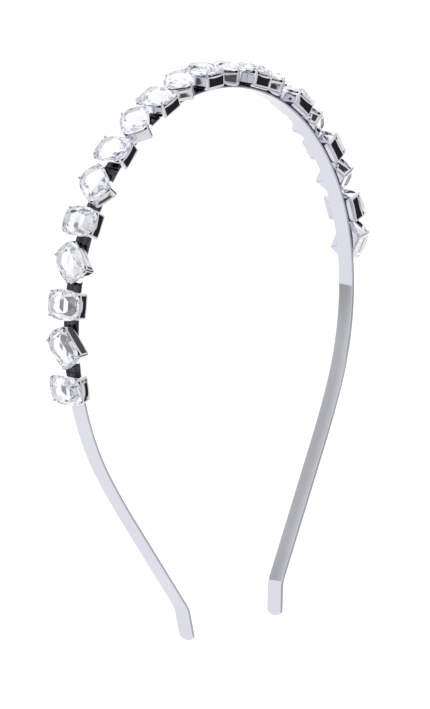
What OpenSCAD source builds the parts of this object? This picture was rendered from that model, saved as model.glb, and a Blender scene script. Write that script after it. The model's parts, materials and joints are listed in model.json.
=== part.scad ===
// A crystal headband lying on its side: an arched metal strip with twenty soldered settings, each holding a
// cushion-cut stone. The arch lies in the XY plane with its crown towards +Y and its feet towards -Y.

/* [Band] */
// Width of the strip
band_w = 5; // [4:0.5:5.5]
// Thickness of the strip
band_t = 0.8; // [0.7:0.1:1.2]
// Length of the straight part of the left leg
left_leg = 33.6; // [30:0.2:40]
// Length of the straight part of the right leg
right_leg = 36.8; // [30:0.2:40]
// Length of the flat part of each foot
foot_l = 7.5; // [6:0.5:12]
// Angle by which each foot turns outward
foot_turn = 24; // [15:1:30]
// Radius of the round end of each foot, seen on the flat of the strip
foot_end_r = 3.4; // [3:0.1:6]

/* [Setting] */
// Width of a cup, its shorter side
cup_w = 7.1; // [7:0.1:7.1]
// Length of a cup, its longer side
cup_l = 9.7; // [9.4:0.1:9.7]
// Height of the cup walls
cup_h = 3.5; // [3.1:0.1:3.5]
// Corner radius of a cup, seen from above
cup_r = 0.8; // [0.8:0.1:1.1]
// Radius of the round edge between floor and walls
cup_edge_r = 0.9; // [0.8:0.05:1]
// Thickness of the cup walls
wall_t = 0.35; // [0.3:0.05:0.4]
// Thickness of the cup floor
floor_t = 0.4; // [0.3:0.05:0.6]
// Width of a claw
claw_w = 0.8; // [0.6:0.1:0.9]
// Thickness of a claw
claw_t = 0.25; // [0.2:0.05:0.25]
// Depth to which the solder sinks the floor into the strip
solder_depth = 0.12; // [0.08:0.02:0.2]

/* [Stone] */
// Width of a stone
stone_w = 8.1; // [8:0.1:8.1]
// Length of a stone
stone_l = 10.7; // [10.5:0.1:10.7]
// Height of the table above the floor of the cup
table_h = 6.1; // [6:0.05:6.3]
// Free space between a stone and the claws
stone_gap = 0.08; // [0.06:0.01:0.1]

/* [Row] */
// Distance between neighbouring settings along the strip
pitch = 9.1; // [9.1:0.05:9.2]
// Place of the last setting, measured along the strip from the middle of the crown
row_end = 85.8; // [84.8:0.5:87.8]
// Growth of the distance for each setting of the wider spaced end
spread = 0.088; // [0.08:0.004:0.12]

/* [Hidden] */
STONES = 20;
// The wider spacing begins after this many settings, counted from the end of the row
EVEN_SETTINGS = 9;

// Arch from the middle of the crown to a leg: length and turn in degrees of each bend
LENGTH = 0;
TURN = 1;
ARCH = [
    [50, 53.5],
    [40, 37.5],
    [35, 27.5],
    [15, 4.1]
];
// Length over which the strip turns outward into a foot
FOOT_BEND = 3;
LEFT_HALF = concat(ARCH, [[left_leg, 0], [FOOT_BEND, -foot_turn], [foot_l, 0]]);
RIGHT_HALF = concat(ARCH, [[right_leg, 0], [FOOT_BEND, -foot_turn], [foot_l, 0]]);
// Most that one flat facet of the strip turns, in degrees
FACET_TURN = 2.5;

// Each setting from the left end of the row: turn on the strip in degrees, and sideways shift in mm
SPIN = 0;
SHIFT = 1;
SEATS = [
    [0, -0.6],
    [-52, -1],
    [0, -0.8],
    [-50, -1],
    [-1, -0.6],
    [-43, -0.8],
    [0, -0.8],
    [-50, -1.1],
    [0, -0.6],
    [-49, 0],
    [-1, 0.5],
    [-50, 0.5],
    [1, 0.45],
    [-52, 0.9],
    [-3, 0.4],
    [-58, 1.1],
    [-1, 0.5],
    [-50, 1],
    [-3, 0.5],
    [-58, 0.5]
];

// Height above the strip's middle layer at which the floor of a cup starts
SEAT_H = band_t / 2 - solder_depth;
CORNER_STEPS = 5;
EDGE_STEPS = 3;
// Height at which a claw starts to show on the corner of its cup
CLAW_START_H = 1;

// A stone's rings of corners, from its back to its table: share of the full outline, and height
SHARE = 0;
HEIGHT = 1;
GIRDLE_H = cup_h + 0.48;
BACK_TIP_H = GIRDLE_H - 1.9;
BACK_INNER = [0.5, GIRDLE_H - 0.98];
BACK_OUTER = [0.76, GIRDLE_H - 0.48];
GIRDLE_LOW = [1, GIRDLE_H];
GIRDLE_TOP = [1, GIRDLE_H + 0.2];
CROWN_STEP = [0.93, GIRDLE_H + 0.9];
CROWN_MID = [0.78, table_h - 0.42];
TABLE = [0.57, table_h];
// Roundness of the cushion outline: 2 is an ellipse, larger is squarer
CUSHION = 2.8;
RIM_CORNERS = 24;
MAINS = 8;
PER_MAIN = RIM_CORNERS / MAINS;

// A place on the strip is [x, y, heading], the heading in degrees turned from +X towards -Y.

// Place at the end of a bend of a given length and turn that starts at place p
function advance(p, length, turn) =
    let (middle = p[2] + turn / 2)
    let (chord = turn == 0 ? length : length * sin(turn / 2) / (turn / 2 * PI / 180))
    [p[0] + chord * cos(middle), p[1] - chord * sin(middle), p[2] + turn];

// Place where bend k of a row of bends starts
function bend_start(bends, k) =
    k == 0 ? [0, 0, 0] : advance(bend_start(bends, k - 1), bends[k - 1][LENGTH], bends[k - 1][TURN]);

// Place on the right half of the arch, at distance s from the middle of the crown
function arch_place(s, k = 0) =
    let (length = ARCH[k][LENGTH])
    s <= length || k == len(ARCH) - 1
        ? advance(bend_start(ARCH, k), s, ARCH[k][TURN] * s / length)
        : arch_place(s - length, k + 1);

// The same place on the other half of the strip
function mirrored(p) = [-p[0], p[1], -p[2]];

// Place on the arch at distance s from the middle of the crown, left of it where s is negative
function place(s) =
    let (p = arch_place(abs(s)))
    s < 0 ? mirrored(p) : p;

// Places along a row of bends where the strip's facets meet
function half_places(bends) = [
    for (k = [0 : len(bends) - 1])
        let (pieces = max(1, ceil(abs(bends[k][TURN]) / FACET_TURN)))
        for (j = [1 : pieces])
            advance(bend_start(bends, k), bends[k][LENGTH] * j / pieces, bends[k][TURN] * j / pieces)
];
RIGHT_PLACES = half_places(RIGHT_HALF);
LEFT_PLACES = [for (p = half_places(LEFT_HALF)) mirrored(p)];
PLACES = concat([for (k = [len(LEFT_PLACES) - 1 : -1 : 0]) LEFT_PLACES[k]], [[0, 0, 0]], RIGHT_PLACES);

// Point at height h outside place p
function outside(p, h) = [p[0] + h * sin(p[2]), p[1] + h * cos(p[2])];

// Distance of setting i from the middle of the crown, along the strip
function seat_distance(i) =
    let (after = STONES - i)
    row_end - pitch * after - spread * pow(max(0, after - EVEN_SETTINGS), 2);

// Point p of setting i's own frame in the frame of the strip
function seat_point(i, p) =
    let (at = place(seat_distance(i)), spin = SEATS[i - 1][SPIN])
    let (across = p[0] * sin(spin) + p[1] * cos(spin))
    let (along = p[0] * cos(spin) - p[1] * sin(spin))
    let (base = outside(at, SEAT_H + p[2]))
    [
        base[0] + along * cos(at[2]),
        base[1] - along * sin(at[2]),
        -across - SEATS[i - 1][SHIFT]
    ];

// Quarter circle about centre c, from the angle start
function quarter(c, r, start, steps) =
    [for (k = [0 : steps]) c + r * [cos(start + 90 * k / steps), sin(start + 90 * k / steps)]];

// Sign-keeping power
function power(v, e) = sign(v) * pow(abs(v), e);

// Corner of the cushion outline at an angle, as a share of the full size
function cushion(angle, share) =
    share / 2 * [
        stone_w * power(cos(angle), 2 / CUSHION),
        stone_l * power(sin(angle), 2 / CUSHION)
    ];

// One ring of a stone's corners, turned by part of a step
function ring(tier, corners, turn = 0) = [
    for (k = [0 : corners - 1])
        let (p = cushion(360 * (k + turn) / corners, tier[SHARE]))
        [p[0], p[1], tier[HEIGHT]]
];

// How far point p lies out along the slanting line on which a claw stands
function slant(p) = (p[0] + p[1]) * sin(45);

// Side of a claw, as distance from the cup's corner centre and height. It follows the stone's corner.
CORNER_REACH = slant(cushion(45, 1) - [cup_w / 2 - cup_r, cup_l / 2 - cup_r]) + stone_gap;
STEP_INSET = slant(cushion(45, 1)) * (1 - CROWN_STEP[SHARE]);
TIP_DROP = 0.05;
CLAW_SIDE = [
    [cup_r - wall_t, CLAW_START_H],
    [cup_r, CLAW_START_H],
    [cup_r, cup_h - 1],
    [CORNER_REACH + claw_t, cup_h + 0.1],
    [CORNER_REACH + claw_t, GIRDLE_TOP[HEIGHT] + 0.1],
    [CORNER_REACH - STEP_INSET + claw_t, CROWN_STEP[HEIGHT] + 0.15],
    [CORNER_REACH - STEP_INSET + claw_t / 3, CROWN_STEP[HEIGHT] + 0.3],
    [CORNER_REACH - STEP_INSET, CROWN_STEP[HEIGHT] + TIP_DROP],
    [CORNER_REACH, GIRDLE_TOP[HEIGHT]],
    [CORNER_REACH, GIRDLE_LOW[HEIGHT] - 0.1],
    [cup_r - wall_t, cup_h - 0.1]
];

// The points that reach furthest: the corners of the claws and the crowns of the stones
CLAW_CORNERS = [
    for (side = [-1, 1], end = [-1, 1], edge = [-1, 1], p = CLAW_SIDE)
        [
            side * (cup_w / 2 - cup_r + p[0] * cos(45)) + edge * claw_w / 2 * sin(45),
            end * (cup_l / 2 - cup_r + p[0] * sin(45)) - side * end * edge * claw_w / 2 * cos(45),
            p[1]
        ]
];
CROWN_CORNERS = concat(ring(GIRDLE_TOP, RIM_CORNERS), ring(CROWN_STEP, RIM_CORNERS), ring(TABLE, MAINS));
REACH = [for (i = [1 : STONES], p = concat(CLAW_CORNERS, CROWN_CORNERS)) seat_point(i, p)];
CENTRE_X = (max([for (p = REACH) p[0]]) + min([for (p = REACH) p[0]])) / 2;
FOOT_LOW_Y = min([for (p = PLACES, side = [-1, 1]) outside(p, side * band_t / 2)[1]]);
CENTRE_Y = (max([for (p = REACH) p[1]]) + FOOT_LOW_Y) / 2;
LOWEST = min([for (p = REACH) p[2]]);

// Moves its children from the strip's frame, whose origin is the middle of the crown, to the part's origin
module on_floor() {
    translate([-CENTRE_X, -CENTRE_Y, -LOWEST]) children();
}

// Moves its children from setting i's own frame, which has +Z away from the strip, to the strip's frame
module at_seat(i) {
    at = place(seat_distance(i));
    base = outside(at, SEAT_H);
    translate([base[0], base[1], -SEATS[i - 1][SHIFT]])
        rotate([0, 0, -at[2]])
            rotate([-90, 0, 0])
                rotate([0, 0, SEATS[i - 1][SPIN]])
                    children();
}

// The round end of a foot is what this corner cut leaves
module foot_corners(p) {
    straight = sqrt(pow(foot_end_r, 2) - pow(band_w / 2, 2));
    translate([p[0], p[1], 0])
        rotate([0, 0, -p[2]])
            translate([-foot_end_r, 0, 0])
                difference() {
                    translate([straight - 0.3, -band_t, -band_w])
                        cube([foot_end_r, 2 * band_t, 2 * band_w]);
                    rotate([90, 0, 0])
                        cylinder(r = foot_end_r, h = 3 * band_t, center = true, $fn = 64);
                }
}

// Flat strip with its two feet
module strip() {
    difference() {
        linear_extrude(band_w, center = true)
            polygon(concat(
                [for (p = PLACES) outside(p, band_t / 2)],
                [for (k = [len(PLACES) - 1 : -1 : 0]) outside(PLACES[k], -band_t / 2)]
            ));
        foot_corners(PLACES[len(PLACES) - 1]);
        mirror([1, 0, 0]) foot_corners(mirrored(PLACES[0]));
    }
}

// Rectangle with round corners
module rounded_plan(w, l, r) {
    polygon(concat(
        quarter([w / 2 - r, l / 2 - r], r, 0, CORNER_STEPS),
        quarter([r - w / 2, l / 2 - r], r, 90, CORNER_STEPS),
        quarter([r - w / 2, r - l / 2], r, 180, CORNER_STEPS),
        quarter([w / 2 - r, r - l / 2], r, 270, CORNER_STEPS)
    ));
}

// Side view of a cup: open at the top, with round bottom edges
module rounded_side(w, h, r) {
    polygon(concat(
        [[w / 2, h], [-w / 2, h]],
        quarter([r - w / 2, r], r, 180, EDGE_STEPS),
        quarter([w / 2 - r, r], r, 270, EDGE_STEPS)
    ));
}

// Block with round corners and round bottom edges
module rounded_block(w, l, h, r, edge_r) {
    intersection() {
        linear_extrude(h) rounded_plan(w, l, r);
        rotate([90, 0, 0]) linear_extrude(2 * l, center = true) rounded_side(w, h + 1, edge_r);
        rotate([90, 0, 90]) linear_extrude(2 * w, center = true) rounded_side(l, h + 1, edge_r);
    }
}

// Cup with four claws
module setting() {
    difference() {
        rounded_block(cup_w, cup_l, cup_h, cup_r, cup_edge_r);
        translate([0, 0, floor_t])
            rounded_block(cup_w - 2 * wall_t, cup_l - 2 * wall_t, cup_h, cup_r - wall_t, cup_edge_r - wall_t / 2);
    }
    for (side = [-1, 1], end = [-1, 1])
        translate([side * (cup_w / 2 - cup_r), end * (cup_l / 2 - cup_r), 0])
            rotate([90, 0, atan2(end, side)])
                linear_extrude(claw_w, center = true) polygon(CLAW_SIDE);
}

// Strip with every setting soldered on
module band() {
    color("gainsboro")
        on_floor() {
            strip();
            for (i = [1 : STONES]) at_seat(i) setting();
        }
}

// Cushion-cut stone in its setting's frame
module cushion_stone() {
    tip = 0;
    back_inner = 1;
    back_outer = back_inner + MAINS;
    girdle_low = back_outer + RIM_CORNERS;
    girdle_top = girdle_low + RIM_CORNERS;
    crown_step = girdle_top + RIM_CORNERS;
    crown_mid = crown_step + RIM_CORNERS;
    table = crown_mid + MAINS;
    points = concat(
        [[0, 0, BACK_TIP_H]],
        ring(BACK_INNER, MAINS, 0.5),
        ring(BACK_OUTER, RIM_CORNERS),
        ring(GIRDLE_LOW, RIM_CORNERS),
        ring(GIRDLE_TOP, RIM_CORNERS),
        ring(CROWN_STEP, RIM_CORNERS),
        ring(CROWN_MID, MAINS, 0.5),
        ring(TABLE, MAINS)
    );
    walls = [
        for (low = [back_outer, girdle_low, girdle_top], k = [0 : RIM_CORNERS - 1])
            let (next = (k + 1) % RIM_CORNERS, up = low + RIM_CORNERS)
            [low + k, up + k, up + next, low + next]
    ];
    fans = [
        for (m = [0 : MAINS - 1], j = [0 : PER_MAIN - 1])
            let (k = m * PER_MAIN + j, next = (k + 1) % RIM_CORNERS)
            each [
                [crown_mid + m, crown_step + next, crown_step + k],
                [back_outer + k, back_outer + next, back_inner + m]
            ]
    ];
    kites = [
        for (m = [0 : MAINS - 1])
            let (k = m * PER_MAIN, before = (m + MAINS - 1) % MAINS)
            each [
                [table + m, crown_mid + m, crown_step + k],
                [crown_mid + before, table + m, crown_step + k],
                [tip, back_inner + before, back_outer + k],
                [back_inner + m, tip, back_outer + k]
            ]
    ];
    stars = [
        for (m = [0 : MAINS - 1])
            [table + m, table + (m + 1) % MAINS, crown_mid + m]
    ];
    top = [[for (m = [MAINS - 1 : -1 : 0]) table + m]];
    polyhedron(points = points, faces = concat(walls, fans, kites, stars, top));
}

// Stone i in its place
module stone(i) {
    color("aliceblue") on_floor() at_seat(i) cushion_stone();
}

band();
stone(1);  // stone_01
stone(2);  // stone_02
stone(3);  // stone_03
stone(4);  // stone_04
stone(5);  // stone_05
stone(6);  // stone_06
stone(7);  // stone_07
stone(8);  // stone_08
stone(9);  // stone_09
stone(10);  // stone_10
stone(11);  // stone_11
stone(12);  // stone_12
stone(13);  // stone_13
stone(14);  // stone_14
stone(15);  // stone_15
stone(16);  // stone_16
stone(17);  // stone_17
stone(18);  // stone_18
stone(19);  // stone_19
stone(20);  // stone_20
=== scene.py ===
"""A crystal headband on its side: a polished strip, twenty claw settings and their cushion-cut stones.

Every length is in metres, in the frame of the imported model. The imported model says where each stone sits; the
strip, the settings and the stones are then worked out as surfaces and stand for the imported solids.
"""

import json
import logging
import math
from dataclasses import dataclass, replace
from enum import Enum

import bpy
import numpy as np
from mathutils import Matrix, Vector


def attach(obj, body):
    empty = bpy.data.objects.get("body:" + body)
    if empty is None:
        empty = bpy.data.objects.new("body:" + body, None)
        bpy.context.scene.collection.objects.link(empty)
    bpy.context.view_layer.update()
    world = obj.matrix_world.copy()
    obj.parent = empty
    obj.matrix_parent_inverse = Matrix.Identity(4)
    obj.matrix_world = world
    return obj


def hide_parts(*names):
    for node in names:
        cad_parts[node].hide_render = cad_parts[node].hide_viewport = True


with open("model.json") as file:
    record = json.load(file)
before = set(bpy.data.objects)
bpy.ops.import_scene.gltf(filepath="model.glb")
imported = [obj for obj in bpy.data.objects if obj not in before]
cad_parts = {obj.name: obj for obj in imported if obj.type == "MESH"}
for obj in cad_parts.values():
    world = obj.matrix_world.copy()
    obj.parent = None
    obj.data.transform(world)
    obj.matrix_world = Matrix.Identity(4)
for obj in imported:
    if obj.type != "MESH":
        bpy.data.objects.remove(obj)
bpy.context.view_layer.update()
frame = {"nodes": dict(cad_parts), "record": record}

MM = 0.001
BODY = "root"
LAID_FLAT = "laid_flat"
GLOW = "glow"
SHARP_ANGLE = math.radians(35)
# Range that holds most values of a noise
NOISE_SPAN = (0.3, 0.7)

Pair = tuple[float, float]
Triple = tuple[float, float, float]
Array = np.ndarray
Piece = bpy.types.Object
Material = bpy.types.Material
Socket = bpy.types.NodeSocket

log = logging.getLogger("headband")


class Coordinates(Enum):
    """What a finish's pattern is laid on."""

    PLACE = "where the surface is on the object"
    LAID_FLAT = "where the surface is on the strip before it is bent"


@dataclass
class Shell:
    """Points and faces of one closed surface, before they go into a mesh."""

    points: Array  # Corner points, one row each
    faces: list[list[int]]  # Corner numbers of each face
    finish: Array | int = 0  # Number of the finish of each face, or one number for all

    def facing_out(self) -> "Shell":
        """Turns every face round if the shell's volume comes out negative.

        Six times the volume is the sum of the corners' triple product over every face's fan of triangles.

        Returns:
            The shell, with its faces outwards.
        """
        corners = [(f[0], f[k], f[k + 1]) for f in self.faces for k in range(1, len(f) - 1)]
        a, b, c = (self.points[column] for column in np.array(corners).T)
        if np.einsum("ij,ij->", a, np.cross(b, c)) < 0:
            self.faces = [face[::-1] for face in self.faces]
        return self


def ring_faces(rings: int, corners: int, first: int = 0) -> list[list[int]]:
    """Faces between each ring of corners and the next.

    Corners k and k + 1 of ring j are joined to corners k + 1 and k of ring j + 1.

    Args:
        rings: Number of rings.
        corners: Corners of a ring.
        first: Number of the first ring's first corner.

    Returns:
        Corner numbers of each face.
    """
    j, k = np.meshgrid(np.arange(rings - 1), np.arange(corners), indexing="ij")
    low, after = first + j * corners, (k + 1) % corners
    up = low + corners
    return np.stack([low + k, low + after, up + after, up + k], axis=-1).reshape(-1, 4).tolist()


def tube(sections: Array) -> Shell:
    """Closed tube through a stack of sections, with a flat face on each end.

    Args:
        sections: Points by section, by corner and by axis.

    Returns:
        The tube, facing outwards.
    """
    count, corners, _ = sections.shape
    last = (count - 1) * corners
    ends = [list(range(corners))[::-1], list(range(last, last + corners))]
    return Shell(sections.reshape(-1, 3), ring_faces(count, corners) + ends).facing_out()


def bowl(rings: Array) -> Shell:
    """Closed surface through a stack of rings, the first and the last of which are one point each.

    Each end point is joined to the ring beside it by a fan of triangles.

    Args:
        rings: Points by ring, by corner and by axis. All corners of the first and of the last ring are equal.

    Returns:
        The surface, facing outwards.
    """
    count, corners, _ = rings.shape
    points = np.vstack([rings[0, :1], rings[1:-1].reshape(-1, 3), rings[-1, :1]])
    here = np.arange(corners)
    after, none = (here + 1) % corners, 0 * here
    top = 1 + (count - 3) * corners
    start = np.column_stack([none, 1 + after, 1 + here])
    stop = np.column_stack([top + here, top + after, none + len(points) - 1])
    return Shell(points, ring_faces(count - 2, corners, 1) + start.tolist() + stop.tolist()).facing_out()


def squarish(angle: Array, power: float) -> Array:
    """Cosine and sine of each angle, to a power with their signs kept: 1 gives a circle, less is squarer."""
    wave = np.column_stack([np.cos(angle), np.sin(angle)]).round(12)
    return np.sign(wave) * np.abs(wave) ** power


def as_object(name: str, shells: list[Shell], finishes: list[Material], smooth: bool = False) -> Piece:
    """Puts shells into one mesh object at the origin.

    Args:
        name: Name of the piece.
        shells: Closed surfaces of the piece.
        finishes: Materials, in the order that the shells' finish numbers say.
        smooth: Whether the shading runs on over all but the sharp edges, or every face is flat.

    Returns:
        The object.
    """
    starts = np.cumsum([0] + [len(s.points) for s in shells])
    faces = [[corner + start for corner in face] for s, start in zip(shells, starts) for face in s.faces]
    mesh = bpy.data.meshes.new(name)
    mesh.from_pydata(np.vstack([s.points for s in shells]).tolist(), [], faces)
    numbers = np.concatenate([np.broadcast_to(s.finish, len(s.faces)) for s in shells])
    mesh.polygons.foreach_set("material_index", numbers.astype(np.int32))
    mesh.polygons.foreach_set("use_smooth", np.full(len(faces), smooth))
    for finish in finishes:
        mesh.materials.append(finish)
    if smooth:
        mesh.set_sharp_from_angle(angle=SHARP_ANGLE)
    mesh.validate()
    mesh.update()
    piece = bpy.data.objects.new(name, mesh)
    bpy.context.scene.collection.objects.link(piece)
    return piece


def hand_over(piece: Piece, node: str) -> None:
    """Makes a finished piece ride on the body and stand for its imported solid.

    Args:
        piece: The finished piece.
        node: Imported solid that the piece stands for.
    """
    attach(piece, BODY)
    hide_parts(node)
    log.info("%s: %d faces, stands for %s", piece.name, len(piece.data.polygons), node)


class NodeSheet:
    """Nodes of a material or a world, laid and joined by short calls."""

    def __init__(self, holder: Material | bpy.types.World) -> None:
        """Clears the nodes of a new material or world.

        Args:
            holder: The material or world.
        """
        holder.use_nodes = True
        self.holder = holder
        self.tree = holder.node_tree
        self.tree.nodes.clear()

    def put(self, value: object, target: Socket) -> None:
        """Joins an output to an input, or sets the input's own value.

        Args:
            value: Output socket, or number, vector or colour.
            target: Input socket.
        """
        if isinstance(value, Socket):
            self.tree.links.new(value, target)
        else:
            target.default_value = value

    def add(self, kind: str, *inputs: object, **values: object) -> bpy.types.Node:
        """Adds a node.

        Args:
            kind: Type of the node, without the leading ShaderNode.
            inputs: What goes into its first inputs.
            values: Its properties by name, and what goes into its inputs by name, with _ for a space.

        Returns:
            The node.
        """
        node = self.tree.nodes.new("ShaderNode" + kind)
        for value, target in zip(inputs, node.inputs):
            self.put(value, target)
        for key, value in values.items():
            if hasattr(node, key):
                setattr(node, key, value)
            else:
                self.put(value, node.inputs[key.replace("_", " ")])
        return node

    def shade(self, **values: object) -> Material:
        """Ends the material in a Principled shader, with what goes into its inputs by name, and returns it."""
        self.add("OutputMaterial", self.add("BsdfPrincipled", **values).outputs["BSDF"])
        return self.holder

    def coordinates(self, laid: Coordinates = Coordinates.PLACE, stretch: Triple = (1, 1, 1)) -> Socket:
        """Coordinates of a pattern, stretched by a Mapping node.

        Args:
            laid: What the pattern is laid on.
            stretch: Factor along each axis.

        Returns:
            Output socket with the coordinates.
        """
        if laid is Coordinates.LAID_FLAT:
            source = self.add("Attribute", attribute_name=LAID_FLAT).outputs["Vector"]
        else:
            source = self.add("TexCoord").outputs["Object"]
        return self.add("Mapping", source, Scale=stretch).outputs["Vector"]

    def noise(self, at: Socket, length: float, detail: float = 2) -> Socket:
        """Soft noise, with waves of a length at the coordinates and a number of finer layers."""
        return self.add("TexNoise", at, Scale=1 / length, Detail=detail).outputs["Fac"]

    def ramp(self, source: Socket, span: Pair, levels: Pair = (0, 1), **shape: str) -> Socket:
        """Value that goes from one level to another over a span of the source, evenly unless a shape is given."""
        return self.add("MapRange", source, *span, *levels, **shape).outputs["Result"]

    def tint(self, source: Socket, places: tuple[float, ...], colours: tuple[Triple, ...]) -> Socket:
        """Colour that goes from one colour to the next as the source goes from one place to the next.

        Args:
            source: What is measured, 0 to 1.
            places: Places in rising order.
            colours: Colour at each.

        Returns:
            Output socket with the colour.
        """
        node = self.add("ValToRGB", source)
        stops = node.color_ramp.elements
        while len(stops) < len(places):
            stops.new(1)
        for stop, place, colour in zip(stops, places, colours):
            stop.position, stop.color = place, (*colour, 1)
        return node.outputs["Color"]

    def cover(self, below: Socket, colour: Triple, share: Socket) -> Socket:
        """Lays a colour over another one.

        Args:
            below: Colour beneath.
            colour: Colour laid over it.
            share: How much of it, 0 to 1.

        Returns:
            Output socket with the colour.
        """
        node = self.add("Mix", share, data_type="RGBA")
        under, over = (s for s in node.inputs if s.type == "RGBA")
        self.put(below, under)
        self.put((*colour, 1), over)
        return next(s for s in node.outputs if s.type == "RGBA")

    def bump(self, source: Socket, height: float, **below: Socket) -> Socket:
        """Relief of a height after a noise, laid over the relief below if its Normal is given."""
        return self.add("Bump", Height=source, Distance=height, **below).outputs["Normal"]


@dataclass(frozen=True)
class Finish:
    """What every finish has: two colours that change in soft patches, and a range of roughness."""

    name: str
    pale: Triple  # Colour of the brighter patches
    deep: Triple  # Colour of the duller patches
    rough: Pair  # Roughness of the cleanest and of the dullest spots

    def coat(self, sheet: NodeSheet, patches: Socket, marks: Socket) -> dict[str, Socket]:
        """Colour and roughness by the shader's input, changed by a noise of patches and by one of marks."""
        colour = sheet.tint(patches, NOISE_SPAN, (self.deep, self.pale))
        return {"Base_Color": colour, "Roughness": sheet.ramp(marks, NOISE_SPAN, self.rough)}


@dataclass(frozen=True)
class Plating(Finish):
    """Bright plated metal: slightly wavy under the polish, with fine polishing lines and faint handling marks."""

    wave: Pair  # Length and height of the waves under the polish
    line: Pair  # Length and height of the polishing lines' waves across their run
    run: float  # How many times longer the polishing lines are along their run
    laid: Coordinates = Coordinates.PLACE  # What the pattern is laid on
    # First and last distance along the strip between which its outer face is darkened: painted shade of the narrow
    # gaps between the cups, laid with a soldering stain
    solder_and_gap_shade: Pair | None = None
    fade: Pair = (1.5 * MM, 0.2 * MM)  # Distances along the strip and through it over which the painted shade and stain begin
    streaks: Pair = (1.0, 0.85)  # Share of the painted shade and stain where it is fullest and where it is thinnest
    solder_and_gap_shade_colour: Triple = (0.012, 0.012, 0.014)  # Reflection colour of the painted shade and stain, nearly black

    def material(self) -> Material:
        """Makes the material, with patches five waves long and handling marks four polishing lines wide.

        Returns:
            The material.
        """
        sheet = NodeSheet(bpy.data.materials.new(self.name))
        plain = sheet.coordinates(self.laid)
        lines = sheet.coordinates(self.laid, (1 / self.run, 1, 1))
        marks = sheet.noise(lines, 4 * self.line[0], 4)
        coat = self.coat(sheet, sheet.noise(plain, 5 * self.wave[0]), marks)
        # Painted shade: the outer face between the cups is darkened nearly black where the narrow gaps are shaded,
        # with a soldering stain
        if self.solder_and_gap_shade:
            coat["Base_Color"] = sheet.cover(coat["Base_Color"], self.solder_and_gap_shade_colour, self.solder_and_gap_shade_share(sheet, marks))
        waves = sheet.bump(sheet.noise(plain, self.wave[0], 1), self.wave[1])
        fine = sheet.bump(sheet.noise(lines, self.line[0]), self.line[1], Normal=waves)
        return sheet.shade(Metallic=1.0, Normal=fine, **coat)

    def solder_and_gap_shade_share(self, sheet: NodeSheet, marks: Socket) -> Socket:
        """Share of the painted shade between the cups, laid with a soldering stain.

        It is one over the outer face between its two ends, fading past each, times a streaky noise.

        Args:
            sheet: The material's nodes.
            marks: Streaky noise.

        Returns:
            Output socket with the share.
        """
        place = sheet.add("SeparateXYZ", sheet.coordinates(self.laid)).outputs
        (first, last), (past, depth) = self.solder_and_gap_shade, self.fade
        share = sheet.ramp(place["X"], (first - past, first))
        for rise in (
            sheet.ramp(place["X"], (last, last + past), (1, 0)),
            sheet.ramp(place["Z"], (0, depth)),
            sheet.ramp(marks, NOISE_SPAN, self.streaks),
        ):
            share = sheet.add("Math", share, rise, operation="MULTIPLY").outputs["Value"]
        return share


@dataclass(frozen=True)
class Crystal(Finish):
    """Clear cut glass with faint smears on its polished facets."""

    index: float  # How strongly the glass bends light
    smear: float  # Length of the smears

    def material(self) -> Material:
        """Makes the material.

        Returns:
            The material.
        """
        sheet = NodeSheet(bpy.data.materials.new(self.name))
        smears = sheet.noise(sheet.coordinates(), self.smear, 3)
        return sheet.shade(Transmission_Weight=1.0, IOR=self.index, **self.coat(sheet, smears, smears))


@dataclass(frozen=True)
class Foil(Finish):
    """Silvered back of a stone, seen through the glass: bright, with a faint crinkle."""

    crinkle: Pair  # Length and height of the crinkles

    def material(self) -> Material:
        """Makes the material, with patches three crinkles long.

        Returns:
            The material.
        """
        sheet = NodeSheet(bpy.data.materials.new(self.name))
        place = sheet.coordinates()
        patches = sheet.noise(place, 3 * self.crinkle[0])
        crinkles = sheet.bump(sheet.noise(place, self.crinkle[0]), self.crinkle[1])
        return sheet.shade(Metallic=1.0, Normal=crinkles, **self.coat(sheet, patches, patches))


STRIP_PLATING = Plating(
    name="polished_strip",
    pale=(0.64, 0.65, 0.72),
    deep=(0.60, 0.61, 0.675),
    rough=(0.03, 0.09),
    wave=(9 * MM, 0.02 * MM),
    line=(0.25 * MM, 0.0006 * MM),
    run=40,
    laid=Coordinates.LAID_FLAT,
    # Darkened stretch of the outer face along the row of cups: painted shade of the gaps, with a soldering stain
    solder_and_gap_shade=(-96 * MM, 88 * MM),
)
CUP_PLATING = Plating(
    name="polished_setting",
    pale=(0.90, 0.90, 0.93),
    deep=(0.80, 0.80, 0.85),
    rough=(0.01, 0.06),
    wave=(2.2 * MM, 0.03 * MM),
    line=(0.2 * MM, 0.001 * MM),
    run=6,
)
UNDERSIDE_PLATING = replace(
    CUP_PLATING, name="duller_underside", pale=(0.68, 0.69, 0.76), deep=(0.60, 0.61, 0.69), rough=(0.08, 0.16)
)
CRYSTAL = Crystal(
    name="cut_crystal", pale=(1.0, 1.0, 1.0), deep=(0.96, 0.97, 1.0), rough=(0.0, 0.015), index=1.42, smear=1.5 * MM
)
FOIL = Foil(
    name="silvered_back",
    pale=(0.95, 0.955, 0.98),
    deep=(0.82, 0.825, 0.86),
    rough=(0.01, 0.05),
    crinkle=(1.2 * MM, 0.001 * MM),
)


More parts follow.
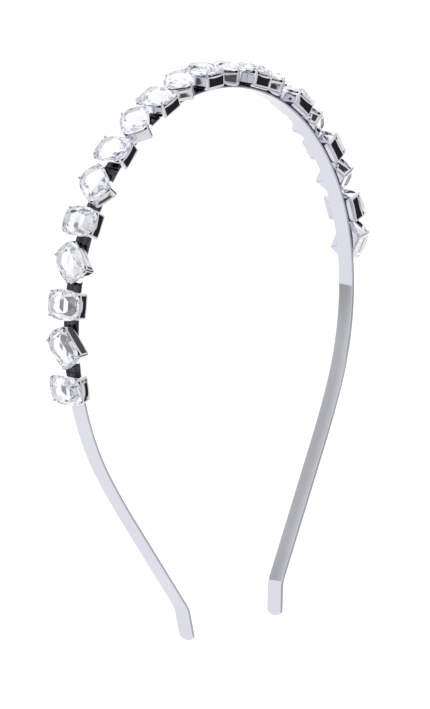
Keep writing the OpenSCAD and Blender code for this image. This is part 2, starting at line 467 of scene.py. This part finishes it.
@dataclass(frozen=True)
class StripPath:
    """Line of the strip, from the middle of the crown to both feet."""

    crown: Triple  # Start of the line, the point on the inner face in the middle of the crown
    # Length and inward turn in degrees of each bend of the left half, from the crown to the foot
    left: tuple[Pair, ...]
    right: tuple[Pair, ...]  # The same for the right half
    step: float = 0.05 * MM  # Distance between the points at which the line is worked out

    def lengths(self) -> Pair:
        """Lengths of the left and of the right half."""
        return sum(length for length, _ in self.left), sum(length for length, _ in self.right)

    def half(self, bends: tuple[Pair, ...], far: Array) -> Array:
        """Places along one half, drawn to the right.

        The heading is the sum of the turns so far, and the line is the sum of the steps along the heading: the
        cosine of the heading along X and minus its sine along Y.

        Args:
            bends: Bends of the half.
            far: Distances from the middle of the crown.

        Returns:
            Rows with X, Y and the heading in radians.
        """
        lengths, turns = np.array(bends).T
        ends, turned = np.cumsum([0, *lengths]), np.cumsum([0, *np.radians(turns)])
        grid = np.arange(0, ends[-1] + self.step, self.step)
        heading = np.interp(grid, ends, turned)
        middle = (heading[1:] + heading[:-1]) / 2
        x, y = (np.append(0, np.cumsum(part * self.step)) for part in (np.cos(middle), -np.sin(middle)))
        return np.column_stack([np.interp(far, grid, column) for column in (x, y, heading)])

    def at(self, s: Array) -> tuple[Array, Array]:
        """Places along the line, and the way out of the strip there: the heading's sine along X, its cosine along Y.

        Args:
            s: Distances from the middle of the crown, negative on the left.

        Returns:
            Points and outward directions, one row each.
        """
        left = self.half(self.left, np.abs(s)) * [-1, 1, -1]
        right = self.half(self.right, np.abs(s))
        x, y, heading = np.where((s < 0)[:, None], left, right).T
        level = 0 * x
        return np.column_stack([x, y, level]) + self.crown, np.column_stack([np.sin(heading), np.cos(heading), level])


@dataclass(frozen=True)
class Strip:
    """Flat sprung strip with worn edges and a round end on each foot."""

    path: StripPath  # Line of the strip's inner face at the crown
    width: float = 5 * MM
    thickness: float = 0.8 * MM
    end_radius: float = 3.4 * MM  # Radius of the round end of a foot, seen on the flat
    end_angle: float = 0.03  # Angle in radians at which the round end stops short of its tip
    end_steps: int = 12  # Sections in the round end of a foot
    edge_radius: float = 0.38 * MM  # Radius of the worn edges
    edge_steps: int = 5  # Faces across a worn edge
    flat_share: float = 0.97  # Share of the flat between extra corners that keep its shading flat
    spacing: float = 0.8 * MM  # Distance between sections

    def half_stations(self, length: float) -> tuple[Array, Array]:
        """Distances of the sections along one half, and half the strip's width at each.

        In the round end the half width is the end radius times the sine of an angle, and the distance from the
        tip is the end radius times one minus its cosine.

        Args:
            length: Length of the half.

        Returns:
            Distances from the middle of the crown, and half widths.
        """
        angle = np.linspace(math.asin(self.width / 2 / self.end_radius), self.end_angle, self.end_steps)
        tip = length - self.end_radius * (1 - np.cos(angle))
        even = np.linspace(0, tip[0], round(tip[0] / self.spacing) + 1)
        half_width = np.concatenate([np.full(len(even), self.width / 2), self.end_radius * np.sin(angle[1:])])
        return np.concatenate([even, tip[1:]]), half_width

    def rim_distance(self, s: Array, across: Array) -> Array:
        """Distance from the strip's outline, for points at distances along and across its flat."""
        # The lesser of the distance from the straight edge and, past the round end's centre, the end radius
        # less the distance from that centre
        past = np.maximum(np.abs(s) - np.where(s < 0, *self.path.lengths()) + self.end_radius, 0)
        return np.minimum(self.width / 2 - np.abs(across), self.end_radius - np.hypot(past, across))

    def sections(self) -> tuple[Array, Array]:
        """Sections carried along the path, moved up by half the thickness.

        A corner is the path's point plus its height along the outward direction and its distance across along
        Z. The height is half the thickness, and within the edge radius of the outline it falls off as a quarter
        circle.

        Returns:
            Corners by section, and the same corners on the strip laid flat: distance along, across and out.
        """
        (left, left_width), (right, right_width) = (self.half_stations(n) for n in self.path.lengths())
        s = np.concatenate([-left[:0:-1], right])
        half_width = np.concatenate([left_width[:0:-1], right_width])[:, None]
        edge = np.minimum(self.edge_radius, half_width)
        turn = np.radians(np.linspace(0, 90, self.edge_steps + 1))
        flat_half = half_width - edge
        right_side = np.concatenate([self.flat_share * flat_half, flat_half + edge * np.sin(turn)], axis=1)
        side = np.concatenate([-right_side[:, ::-1], right_side], axis=1)
        inside = np.minimum(self.rim_distance(s[:, None], side), self.edge_radius)
        fall = np.sqrt(np.maximum(self.edge_radius**2 - (self.edge_radius - inside) ** 2, 0))
        height = self.thickness / 2 - self.edge_radius + fall
        across = np.concatenate([side, side[:, ::-1]], axis=1)
        out = np.concatenate([height, -height[:, ::-1]], axis=1)
        points, outward = self.path.at(s)
        middle = (points + [0, self.thickness / 2, 0])[:, None]
        bent = middle + outward[:, None] * out[..., None] + across[..., None] * [0, 0, 1]
        flat = np.dstack(np.broadcast_arrays(s[:, None], across, out))
        return bent, flat

    def build(self, finish: Material) -> Piece:
        """Makes the strip.

        Args:
            finish: Material of the strip.

        Returns:
            The piece.
        """
        bent, flat = self.sections()
        piece = as_object("strip", [tube(bent)], [finish], smooth=True)
        attribute = piece.data.attributes.new(LAID_FLAT, "FLOAT_VECTOR", "POINT")
        attribute.data.foreach_set("vector", flat.ravel().astype(np.float32))
        return piece


@dataclass(frozen=True)
class Seat:
    """Place of one setting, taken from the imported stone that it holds."""

    number: int  # Number of the setting, from the left end of the row
    base: Array  # Point under the middle of the cup's floor
    # Rows with the directions of the cup's shorter side, its longer side and the way out of the strip
    axes: Array

    @classmethod
    def of_stone(cls, number: int, node: Piece, tip_height: float, layer: float = 0.1 * MM) -> "Seat":
        """Finds the seat under a packed stone.

        The main directions of the stone's corners are its height, its width and its length, from the least to
        the greatest spread. Its back has the fewer corners in its outermost layer, and ends in one corner, which
        stands over the middle of the seat.

        Args:
            number: Number of the setting.
            node: Packed stone.
            tip_height: Height of the stone's back tip over the seat.
            layer: Depth of the layers in which the corners of front and back are counted.

        Returns:
            The seat.
        """
        points = np.empty(len(node.data.vertices) * 3)
        node.data.vertices.foreach_get("co", points)
        points = np.unique(points.reshape(-1, 3).round(6), axis=0)
        offsets = points - points.mean(axis=0)
        outward, _, length = np.linalg.eigh(offsets.T @ offsets)[1].T
        heights = offsets @ outward
        if np.sum(heights < heights.min() + layer) > np.sum(heights > heights.max() - layer):
            outward = -outward
        if length[2] > 0:
            length = -length
        tip = points[np.argmin(offsets @ outward)]
        return cls(number, tip - tip_height * outward, np.stack([np.cross(length, outward), length, outward]))

    def place(self, shell: Shell) -> Shell:
        """Moves a shell from the seat's own directions to the object's."""
        return Shell(self.base + shell.points @ self.axes, shell.faces, shell.finish)


@dataclass(frozen=True)
class Cup:
    """Open box with round corners and a round bottom edge, drawn from sheet."""

    width: float = 7.1 * MM  # Shorter side
    length: float = 9.7 * MM  # Longer side
    height: float = 3.5 * MM
    corner_radius: float = 0.8 * MM  # Radius of the corners, seen from above
    edge_radius: float = 0.9 * MM  # Radius of the edge between floor and walls
    inner_radius: float = 0.2 * MM  # Least radius of that edge inside
    wall: float = 0.35 * MM  # Thickness of the sheet
    rim_radius: float = 0.12 * MM  # Radius of the rubbed rim
    # Bulge of the middle of the shorter and of the longer walls; below zero they are pressed in
    belly: Pair = (0.12 * MM, -0.05 * MM)
    underside: float = 0.7  # Height up to which faces are the underside, as a share of the edge radius
    closing: Pair = (1, 0.4)  # Share by which the rings that close bottom and floor are drawn in
    corner_steps: int = 8  # Faces round a quarter corner
    side_steps: int = 8  # Faces along a side
    wall_steps: int = 5  # Faces up a wall
    edge_steps: int = 5  # Faces round the bottom edge

    def corner_centre(self) -> Array:
        """Centre of the round corner on the positive side."""
        return np.array([self.width, self.length]) / 2 - self.corner_radius

    def outline(self) -> tuple[Array, Array, Array]:
        """Outline as corner centres and directions, with the walls' bulge.

        A point of the outline at an inset is its corner centre plus the corner radius less the inset, along the
        direction. Along a side the centre moves and the direction stays; round a corner it is the other way.
        The bulge is the belly times four times the share of the side behind the point and that before it.

        Returns:
            Centres and directions, one row for each point of the outline, and bulges.
        """
        share = np.append(np.zeros(self.corner_steps), np.linspace(0, 1, self.side_steps + 1)[:-1])
        turn = np.append(np.linspace(0, 90, self.corner_steps + 1), np.full(self.side_steps - 1, 90))
        here = self.corner_centre() * [[1, 1], [-1, 1], [-1, -1], [1, -1]]
        centres = here[:, None] + share[:, None] * (np.roll(here, -1, axis=0) - here)[:, None]
        angle = np.radians(90 * np.arange(4)[:, None] + turn)
        directions = np.dstack([np.cos(angle), np.sin(angle)])
        bulges = 4 * np.tile(self.belly, 2)[:, None] * (share * (1 - share))
        return centres.reshape(-1, 2), directions.reshape(-1, 2), bulges.ravel()

    def profile(self) -> tuple[Array, Array]:
        """Half section of the sheet, from the middle of the bottom round the rim to the middle of the floor.

        Its rounds are quarter circles: a radius less the radius times the sine or cosine of an angle.

        Returns:
            Insets from the outline and heights.
        """
        e, w, r, top = self.edge_radius, self.wall, self.rim_radius, self.height
        inner = max(e - w, self.inner_radius)
        turn = np.radians(np.linspace(0, 90, self.edge_steps + 1))
        sine, cosine = np.sin(turn), np.cos(turn)
        rim_sine, rim_cosine = sine[::2], cosine[::2]
        up = np.linspace(e, top - r, self.wall_steps + 1)[1:-1]
        level = 0 * up
        parts = [
            (e - e * sine, e - e * cosine),
            (level, up),
            (r - r * rim_cosine, top - r + r * rim_sine),
            (w - r + r * rim_sine, top - r + r * rim_cosine),
            (level + w, up[::-1]),
            (w + inner - inner * cosine, w + inner - inner * sine),
        ]
        insets, heights = zip(*parts)
        return np.concatenate(insets), np.concatenate(heights)

    def shell(self) -> Shell:
        """Carries the half section round the outline, closed in the middle of the bottom and of the floor.

        At a height a wall's bulge is its full bulge times four times the share of the height below and above.

        Returns:
            The cup, in the seat's own directions, with finish 0 on its walls and 1 on its underside.
        """
        centres, directions, bulges = self.outline()
        insets, heights = self.profile()
        share = heights / self.height
        reach = self.corner_radius - insets[:, None] + (4 * share * (1 - share))[:, None] * bulges
        flat = centres + directions * reach[..., None]
        rings = np.dstack([flat, np.broadcast_to(heights[:, None], flat.shape[:2])])
        drawn_in = [1 - np.array([share, share, 0]) for share in self.closing]
        first, last = [rings[0] * draw for draw in drawn_in], [rings[-1] * draw for draw in drawn_in[::-1]]
        cup = bowl(np.concatenate([first, rings, last]))
        tops = np.array([cup.points[face, 2].max() for face in cup.faces])
        cup.finish = (tops < self.underside * self.edge_radius).astype(int)
        return cup


@dataclass(frozen=True)
class Claw:
    """Claw that climbs a corner of the cup and lies over the stone's crown."""

    # Reach in mm along the corner's slanting line, from the corner centre, and height of the middle
    path: tuple[Pair, ...]
    width: Pair = (0.8 * MM, 0.7 * MM)  # Width at the root and at the tip
    thickness: Pair = (0.36 * MM, 0.28 * MM)  # Thickness at the root and at the tip
    squareness: float = 0.7  # Power of the section's outline
    round_from: float = 0.86  # Share of the length at which the round tip begins
    tip: float = 0.02  # Least square of the tip's share of the width
    steps: int = 22  # Sections along the claw
    corners: int = 12  # Corners of a section

    def line(self) -> Array:
        """Middle line, by a cubic between each two of the path's points with the slope of their neighbours.

        Returns:
            Points of the line, evenly shared between the stretches.
        """
        points = np.array(self.path) * MM
        ends = np.vstack([2 * points[0] - points[1], points, 2 * points[-1] - points[-2]])
        place = np.linspace(0, len(points) - 1, self.steps)
        k = np.minimum(place.astype(int), len(points) - 2)
        t = (place - k)[:, None]
        a, b, c, d = (ends[k + j] for j in range(4))
        return 0.5 * (2 * b + (c - a) * t + (2 * a - 5 * b + 4 * c - d) * t**2 + (3 * b - a - 3 * c + d) * t**3)

    def shell(self, side: int, end: int, cup: Cup) -> Shell:
        """Claw at one corner of a cup.

        A section is a squarish oval, width across and thickness along the middle line's normal; towards the tip
        both shrink as the root of one minus the squared share of the last stretch.

        Args:
            side: Which corner along the shorter side, -1 or 1.
            end: Which corner along the longer side, -1 or 1.
            cup: The cup.

        Returns:
            The claw, in the seat's own directions.
        """
        line = self.line()
        tangent = np.gradient(line, axis=0)
        tangent /= np.linalg.norm(tangent, axis=1, keepdims=True)
        normal = np.column_stack([tangent[:, 1], -tangent[:, 0]])
        share = np.linspace(0, 1, self.steps)
        last = np.clip((share - self.round_from) / (1 - self.round_from), 0, 1)
        round_off = np.sqrt(np.clip(1 - last**2, self.tip, 1))
        half_width = np.linspace(*self.width, self.steps) / 2 * round_off
        half_thick = np.linspace(*self.thickness, self.steps) / 2 * np.sqrt(round_off)
        oval = squarish(math.pi * (2 * np.arange(self.corners) + 1) / self.corners, self.squareness)
        across = half_width[:, None] * oval[:, 0]
        raised = line[:, None] + normal[:, None] * (half_thick[:, None] * oval[:, 1])[..., None]
        outward, along = np.array([[side, end], [-side, end]]) * math.sqrt(0.5)
        flat = cup.corner_centre() * [side, end] + raised[..., :1] * outward + across[..., None] * along
        return tube(np.dstack([flat, raised[..., 1]]))


@dataclass(frozen=True)
class Setting:
    """Cup with four claws."""

    cup: Cup
    claw: Claw
    bellies: dict[int, float]  # Bulge of the shorter walls where it is not the cup's own, by number of the setting

    def build(self, seat: Seat, finishes: list[Material]) -> Piece:
        """Makes the setting on its seat.

        Args:
            seat: The seat.
            finishes: Materials of the setting and of its underside.

        Returns:
            The piece.
        """
        short, long = self.cup.belly
        cup = replace(self.cup, belly=(self.bellies.get(seat.number, short), long))
        claws = [self.claw.shell(side, end, cup) for side in (-1, 1) for end in (-1, 1)]
        shells = [seat.place(shell) for shell in [cup.shell(), *claws]]
        return as_object(f"setting_{seat.number:02d}", shells, finishes, smooth=True)


def plane_heights(corners: tuple[Array, Array, Array], places: Array) -> Array:
    """Heights of places on planes through three corners each.

    The height is the first corner's, less the place's offset from it along the plane's normal over the normal's
    part along Z.

    Args:
        corners: First, second and third corner of each plane.
        places: Places in X and Y, the same number for each plane.

    Returns:
        Height of each place.
    """
    a, b, c = corners
    normal = np.cross(b - a, c - a)
    offset = np.einsum("ikj,ij->ik", places.reshape(len(a), -1, 2) - a[:, None, :2], normal[:, :2])
    return (a[:, 2:] - offset / normal[:, 2:]).ravel()


@dataclass(frozen=True)
class CutStone:
    """Cushion-cut stone: a table, eight kites and eight triangles over a faceted belt, and a silvered back."""

    width: float = 8.1 * MM
    length: float = 10.7 * MM
    squareness: float = 2.8  # 2 gives an ellipse, more is squarer
    table_share: float = 0.6  # Size of the table, as a share of the outline
    table: float = 6.1 * MM  # Height of the table
    # Share of the outline and height at which the kites and triangles meet over the belt
    shoulder: Pair = (0.84, 5.0 * MM)
    girdle: Pair = (3.95 * MM, 4.3 * MM)  # Lowest and highest height of the girdle
    flat: Pair = (0.66, 2.9 * MM)  # Share of the outline and height of the flat in the middle of the back
    packed_tip: float = 2.08 * MM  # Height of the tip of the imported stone
    mains: int = 8  # Number of kites
    half_steps: int = 3  # Girdle points for each facet of the belt

    def outline(self, share: Array) -> Array:
        """Points of the cushion outline: half its sides times a squarish round, at shares of a turn."""
        return np.array([self.width, self.length]) / 2 * squarish(2 * math.pi * share, 2 / self.squareness)

    def shell(self) -> Shell:
        """Cuts the stone.

        The table's edges lie along the outline's sides and corners. Round it lie kites from its corners and
        triangles from its edges, down to the shoulder; then the belt, the girdle, and on the back plain facets
        round a flat. A kite's outer corner lies on the plane of its other three, and the girdle's lower edge on
        the planes of the back's facets.

        Returns:
            The stone in the seat's own directions, with finish 0 on the glass and 1 on the silvered back.
        """
        n, steps = self.mains, self.half_steps
        count = 2 * n * steps
        rim = self.outline((np.arange(count) + steps) / count)
        kites, mids = rim[:: 2 * steps], rim[steps :: 2 * steps]
        (low, high), (inset, level), (flat_share, flat_height) = self.girdle, self.shoulder, self.flat
        table = np.column_stack([kites * self.table_share, np.full(n, self.table)])
        between = np.column_stack([inset * mids, np.full(n, level)])
        tips = plane_heights((table, between, np.roll(between, 1, axis=0)), inset * kites)
        outer = np.column_stack([inset * kites, tips])
        edge = np.column_stack([rim, np.full(count, high)])
        flat = np.column_stack([kites * flat_share, np.full(n, flat_height)])
        ends = np.column_stack([kites, np.full(n, low)])
        bottom = np.column_stack([rim, plane_heights((ends, np.roll(ends, -1, axis=0), flat), rim)])
        t, o, m, e, b, f = np.cumsum([0, n, n, n, count, count])
        glass = [list(range(t, t + n)), *(face[::-1] for face in ring_faces(2, count, e))]
        silvered = [list(range(f, f + n))]
        for k in range(n):
            after, before, here = (k + 1) % n, (k - 1) % n, 2 * k * steps
            half, whole = here + steps, here + 2 * steps
            glass += [
                [t + k, m + k, t + after],
                [t + k, m + before, o + k, m + k],
                [m + k, o + k, *(e + j for j in range(here, half + 1))],
                [o + after, m + k, *(e + j % count for j in range(half, whole + 1))],
            ]
            silvered += [[f + after, f + k, *(b + j % count for j in range(here, whole + 1))]]
        finish = np.repeat([0, 1], [len(glass), len(silvered)])
        return Shell(np.vstack([table, outer, between, edge, bottom, flat]), glass + silvered, finish).facing_out()

    def build(self, seat: Seat, finishes: list[Material]) -> Piece:
        """Makes the stone on its seat, every facet flat, in the materials of glass and silvered back."""
        return as_object(f"cut_stone_{seat.number:02d}", [seat.place(self.shell())], finishes)


@dataclass(frozen=True)
class SkyPatch:
    """Round patch of the surroundings, as bright or dark as a reflector or a gap between reflectors."""

    azimuth: float  # Direction in degrees, from +X towards +Y
    elevation: float  # Angle over the horizon in degrees
    inner: float  # Angle in degrees from the middle up to which the patch is full
    outer: float  # Angle in degrees at which it ends
    level: float  # Its brightness

    def direction(self) -> Triple:
        """Unit vector towards the patch."""
        a, e = math.radians(self.azimuth), math.radians(self.elevation)
        return math.cos(a) * math.cos(e), math.sin(a) * math.cos(e), math.sin(e)

    def span(self) -> Pair:
        """Cosines of the outer and of the inner angle."""
        return math.cos(math.radians(self.outer)), math.cos(math.radians(self.inner))


@dataclass(frozen=True)
class GreyCard:
    """Narrow grey card on the floor, which greys what an upright face along the strip mirrors."""

    path: StripPath
    view: Triple  # Direction in which the camera looks
    glow: tuple[Pair, ...]  # Distance along the strip in mm and the glow there
    out: float  # Distance of the face from the line, outward; below zero the face looks inward
    heights: Pair = (2 * MM, 13 * MM)  # Lowest and highest point of the face
    # Share of the face's height, and what the glow is multiplied by there
    across: tuple[Pair, ...] = ((0, 1), (1, 1))
    tone: Triple = (1, 1, 0.96)  # Colour of the glow
    depths: Pair = (-0.02 * MM, -0.04 * MM)  # Height of its top and of its underside, just over the floor
    steps: int = 200  # Sections along the card

    def build(self) -> None:
        """Lays the card where the face mirrors the floor.

        The view's mirror direction at a place is the view less twice its share along the normal. A point of the
        face at a height shows the floor's point that lies along it by the height over its fall.
        """
        far, glow = np.array(self.glow).T
        share, factor = np.array(self.across).T
        s = np.linspace(far[0], far[-1], self.steps)
        points, normal = self.path.at(s * MM)
        mirrored = np.array(self.view) - 2 * (normal @ self.view)[:, None] * normal
        run = mirrored[:, :2] / -mirrored[:, 2:]
        start = (points + self.out * normal)[:, :2]
        top = start[:, None] + run[:, None] * np.interp(share, [0, 1], self.heights)[:, None]
        corners = np.concatenate([top, top[:, [-1, 0]]], axis=1)
        level = np.repeat(self.depths, [len(share), 2])
        shell = tube(np.dstack([corners, np.broadcast_to(level, corners.shape[:2])]))
        sheet = NodeSheet(bpy.data.materials.new("grey_card"))
        light = sheet.add("Attribute", attribute_name=GLOW).outputs["Fac"]
        paint = sheet.shade(
            Roughness=1.0, Base_Color=(0, 0, 0, 1), Emission_Color=(*self.tone, 1), Emission_Strength=light
        )
        card = as_object("grey_card", [shell], [paint])
        values = np.interp(s, far, glow)[:, None] * np.append(factor, factor[[-1, 0]])
        card.data.attributes.new(GLOW, "FLOAT", "POINT").data.foreach_set("value", values.ravel().astype(np.float32))
        card.visible_camera = False


@dataclass(frozen=True)
class Studio:
    """Plain pale floor, soft surroundings and the camera."""

    patches: tuple[SkyPatch, ...]  # Patches of the surroundings, laid over each other in this order
    bands: tuple[Pair, ...]  # Brightness of the surroundings by height: the sine of the elevation and the level there
    crown: Triple  # Point on the inner face in the middle of the crown
    floor_radius: float = 3.0
    floor_rings: Triple = (0.02, 0.3, 1.0)  # Shares of the radius at which the floor has corners
    floor_corners: int = 64  # Corners of a ring
    floor_depths: Pair = (-0.05 * MM, -5.05 * MM)  # Height of the floor and of its underside
    floor_greys: Pair = (0.18, 0.2)  # Greys between which the floor's fine grain changes
    floor_grain: float = 4 * MM  # Length of the grain
    floor_rough: float = 0.6
    floor_glow: float = 1.0  # Light that the floor gives of its own
    camera_off: Triple = (-3.70099, 1.31584, 3.27866)  # Place of the camera, seen from the crown
    camera_right: Triple = (0.64653, -0.07026, 0.75964)  # Direction to the right of the picture
    camera_up: Triple = (0.24999, 0.96028, -0.12394)  # Upward direction of the picture
    lens: float = 1000  # Focal length in mm
    clip: Pair = (0.5, 12)  # Least and greatest distance that the camera sees
    bounces: tuple[int, int, int] = (24, 16, 24)  # How often light may bounce, in all, off gloss and through glass

    def floor(self) -> None:
        """Round floor just under the headband: a radius along the cosine and sine of an angle."""
        angle = np.linspace(0, 2 * math.pi, self.floor_corners, endpoint=False)
        radius = self.floor_radius * np.array([*self.floor_rings, *self.floor_rings[::-1]])[:, None]
        level = np.repeat(self.floor_depths, len(self.floor_rings))[:, None]
        rings = np.dstack(np.broadcast_arrays(radius * np.cos(angle), radius * np.sin(angle), level))
        sheet = NodeSheet(bpy.data.materials.new("pale_floor"))
        grain = sheet.noise(sheet.coordinates(), self.floor_grain)
        paint = sheet.shade(
            Base_Color=sheet.tint(grain, NOISE_SPAN, tuple((grey,) * 3 for grey in self.floor_greys)),
            Roughness=self.floor_rough,
            Emission_Strength=self.floor_glow,
            Emission_Color=(1, 1, 1, 1),
        )
        as_object("floor", [tube(rings)], [paint])

    def surroundings(self) -> None:
        """Lays the bands and patches of the surroundings into the world, plain white behind the object.

        A patch's share is a smooth step of the cosine of the angle between the direction and its middle.
        """
        sheet = NodeSheet(bpy.data.worlds.new("studio"))
        bpy.context.scene.world = sheet.holder
        place = sheet.add("TexCoord").outputs["Generated"]
        height = sheet.ramp(sheet.add("SeparateXYZ", place).outputs["Z"], (-1, 1))
        places = tuple((sine + 1) / 2 for sine, _ in self.bands)
        colour = sheet.tint(height, places, tuple((level,) * 3 for _, level in self.bands))
        for patch in self.patches:
            near = sheet.add("VectorMath", place, patch.direction(), operation="DOT_PRODUCT").outputs["Value"]
            share = sheet.ramp(near, patch.span(), interpolation_type="SMOOTHSTEP")
            colour = sheet.cover(colour, (patch.level,) * 3, share)
        lit, seen = (sheet.add("Background", c).outputs["Background"] for c in (colour, (1, 1, 1, 1)))
        choice = sheet.add("MixShader", sheet.add("LightPath").outputs["Is Camera Ray"], lit, seen)
        sheet.add("OutputWorld", choice.outputs["Shader"])

    def view(self) -> Triple:
        """Direction in which the camera looks."""
        return tuple(-Vector(self.camera_right).cross(Vector(self.camera_up)))

    def camera(self) -> None:
        """Sets the camera at the photograph's viewing angle."""
        lens = bpy.data.cameras.new("camera")
        lens.lens = self.lens
        lens.clip_start, lens.clip_end = self.clip
        camera = bpy.data.objects.new("camera", lens)
        right, up = Vector(self.camera_right), Vector(self.camera_up)
        turned = Matrix((right, up, right.cross(up))).transposed().to_4x4()
        camera.matrix_world = Matrix.Translation(Vector(self.crown) + Vector(self.camera_off)) @ turned
        bpy.context.scene.collection.objects.link(camera)
        bpy.context.scene.camera = camera

    def build(self) -> None:
        """Sets up the floor, the surroundings and the camera, with plain screen colours.

        Light goes back and forth many times in a silvered stone, so its paths are let run long.
        """
        self.floor()
        self.surroundings()
        self.camera()
        bpy.context.scene.view_settings.view_transform = "Standard"
        paths = bpy.context.scene.cycles
        paths.max_bounces, paths.glossy_bounces, paths.transmission_bounces = self.bounces
        log.info("studio: floor, surroundings with %d patches, camera", len(self.patches))


ARCH = ((50 * MM, 53.5), (40 * MM, 37.5), (35 * MM, 27.5), (15 * MM, 4.1))
FOOT = ((3 * MM, -24), (7.5 * MM, 0))
LEFT_HALF = (*ARCH, (33.6 * MM, 0), *FOOT)
RIGHT_HALF = (*ARCH, (36.8 * MM, 0), *FOOT)
# In mm
CLAW_PATH = ((0.62, 0.9), (0.65, 2.0), (0.65, 3.2), (0.62, 3.9), (0.58, 4.5), (0.38, 5.02), (-0.05, 5.32))
# Bulge of the shorter walls of the cups that are drawn the fullest
BELLIES = {1: 0.3 * MM, 3: 0.24 * MM, 5: 0.2 * MM, 7: 0.17 * MM}
PATCHES = tuple(
    SkyPatch(*patch)
    for patch in (
        (-21, 41, 10, 14, 0.02), (174, 43, 8, 14, 0.1), (135, 35, 6, 10, 0.05), (100, 21, 6, 10, 0.05),
        (70, 22, 6, 10, 0.05), (33, 21, 4, 7, 0.08), (-148, 36, 5, 9, 0.08), (-84, 20, 4, 7, 0.1),
        (160, 12, 5, 9, 0.12), (-165, 8, 5, 9, 0.12), (100, 70, 5, 9, 0.1), (-90, 78, 5, 9, 0.1),
        (-63, 6, 6, 9, 0.05), (16, 10, 4, 7, 0.1),
    )
)
BANDS = ((-1.0, 1.0), (0.0, 0.92), (0.3, 0.82), (0.6, 0.85), (1.0, 0.65))
# Card beside the row, with a gap where the strip between two cups shows dark: distance along the strip and glow
ROW_CARD = (
    (-99, 0.9), (-97, 0.3), (-95.5, 0.3), (-94.5, 0.95),
    (-88, 0.95), (-86.5, 0.25), (-84.5, 0.35), (-84, 0.95),
    (-77, 0.95), (-76, 0.2), (-73.5, 0.25), (-73, 0.95),
    (-67, 0.95), (-66, 0.45), (-65, 0.45), (-64.5, 0.95),
    (-57, 0.95), (-56, 0.3), (-54, 0.3), (-53.5, 0.95),
    (-51, 0.95), (-50.5, 0.4), (-49.5, 0.4), (-49, 0.95),
)
# Card beside the right leg: distance along the strip and glow, then share of the face's height and factor
LEG_CARD = (
    (96.5, 0.52), (100, 0.57), (106, 0.67), (112, 0.74),
    (122, 0.70), (132, 0.67), (168, 0.69), (178, 0.62),
)
LEG_ACROSS = (
    (0, 1.2), (0.185, 1.15), (0.23, 1.04), (0.30, 0.96),
    (0.45, 0.96), (0.52, 1.06), (0.58, 1.16), (1, 1.2),
)


@dataclass(frozen=True)
class Headband:
    """The whole headband."""

    strip: Strip
    setting: Setting
    stone: CutStone

    def seats(self) -> list[Seat]:
        """A seat under each packed stone."""
        nodes = sorted(name for name in frame["nodes"] if name.startswith("stone_"))
        return [Seat.of_stone(k, frame["nodes"][name], self.stone.packed_tip) for k, name in enumerate(nodes, 1)]

    def build(self) -> None:
        """Builds and dresses every piece."""
        seats = self.seats()
        hand_over(self.strip.build(STRIP_PLATING.material()), "band")
        plating = [CUP_PLATING.material(), UNDERSIDE_PLATING.material()]
        for seat in seats:
            hand_over(self.setting.build(seat, plating), "band")
        cut = [CRYSTAL.material(), FOIL.material()]
        for seat in seats:
            hand_over(self.stone.build(seat, cut), f"stone_{seat.number:02d}")


def main() -> None:
    """Builds the headband and its studio."""
    logging.basicConfig(level=logging.INFO, format="%(name)s: %(message)s")
    crown = tuple(frame["record"]["mounts"][0]["pos_m"])
    studio = Studio(PATCHES, BANDS, crown)
    studio.build()
    path = StripPath(crown, LEFT_HALF, RIGHT_HALF)
    GreyCard(path, studio.view(), LEG_CARD, out=-0.4 * MM, across=LEG_ACROSS).build()
    GreyCard(path, studio.view(), ROW_CARD, out=6 * MM, heights=(1 * MM, 6 * MM)).build()
    Headband(Strip(path), Setting(Cup(), Claw(CLAW_PATH), BELLIES), CutStone()).build()


if __name__ == "__main__":
    main()
